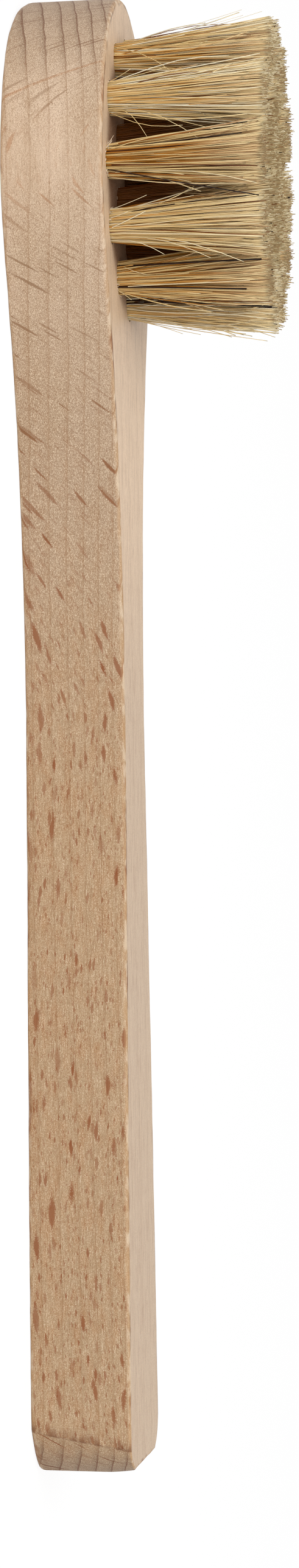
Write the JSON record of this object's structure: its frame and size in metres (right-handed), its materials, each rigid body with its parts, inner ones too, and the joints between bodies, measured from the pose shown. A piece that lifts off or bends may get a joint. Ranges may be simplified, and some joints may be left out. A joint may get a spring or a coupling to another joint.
{
  "type": "shoe polish applicator brush",
  "caption": "Flat wooden hand brush with a round head of natural bristle tufts and a slim neck that widens to a square-ended grip, for putting polish or cream on shoes.",
  "frame": {"origin": "on the flat back of the brush, under the middle of its box", "axes": "+X from the head to the end of the handle, +Z through the bristles, away from the back"},
  "size_m": [0.177, 0.041, 0.03],
  "materials": {
    "beech": "bare sanded beech",
    "bristle": "natural blond bristle",
    "anchor_wire": "drawn flat wire"
  },
  "bodies": {
    "root": {"handle": "beech", "tuft_centre": "bristle", "tuft_inner_01": "bristle", "tuft_inner_02": "bristle", "tuft_inner_03": "bristle", "tuft_inner_04": "bristle", "tuft_inner_05": "bristle", "tuft_inner_06": "bristle", "tuft_outer_01": "bristle", "tuft_outer_02": "bristle", "tuft_outer_03": "bristle", "tuft_outer_04": "bristle", "tuft_outer_05": "bristle", "tuft_outer_06": "bristle", "tuft_outer_07": "bristle", "tuft_outer_08": "bristle", "tuft_outer_09": "bristle", "tuft_outer_10": "bristle", "tuft_outer_11": "bristle", "tuft_outer_12": "bristle", "anchor_centre": "anchor_wire", "anchor_inner_01": "anchor_wire", "anchor_inner_02": "anchor_wire", "anchor_inner_03": "anchor_wire", "anchor_inner_04": "anchor_wire", "anchor_inner_05": "anchor_wire", "anchor_inner_06": "anchor_wire", "anchor_outer_01": "anchor_wire", "anchor_outer_02": "anchor_wire", "anchor_outer_03": "anchor_wire", "anchor_outer_04": "anchor_wire", "anchor_outer_05": "anchor_wire", "anchor_outer_06": "anchor_wire", "anchor_outer_07": "anchor_wire", "anchor_outer_08": "anchor_wire", "anchor_outer_09": "anchor_wire", "anchor_outer_10": "anchor_wire", "anchor_outer_11": "anchor_wire", "anchor_outer_12": "anchor_wire"}
  },
  "joints": []
}
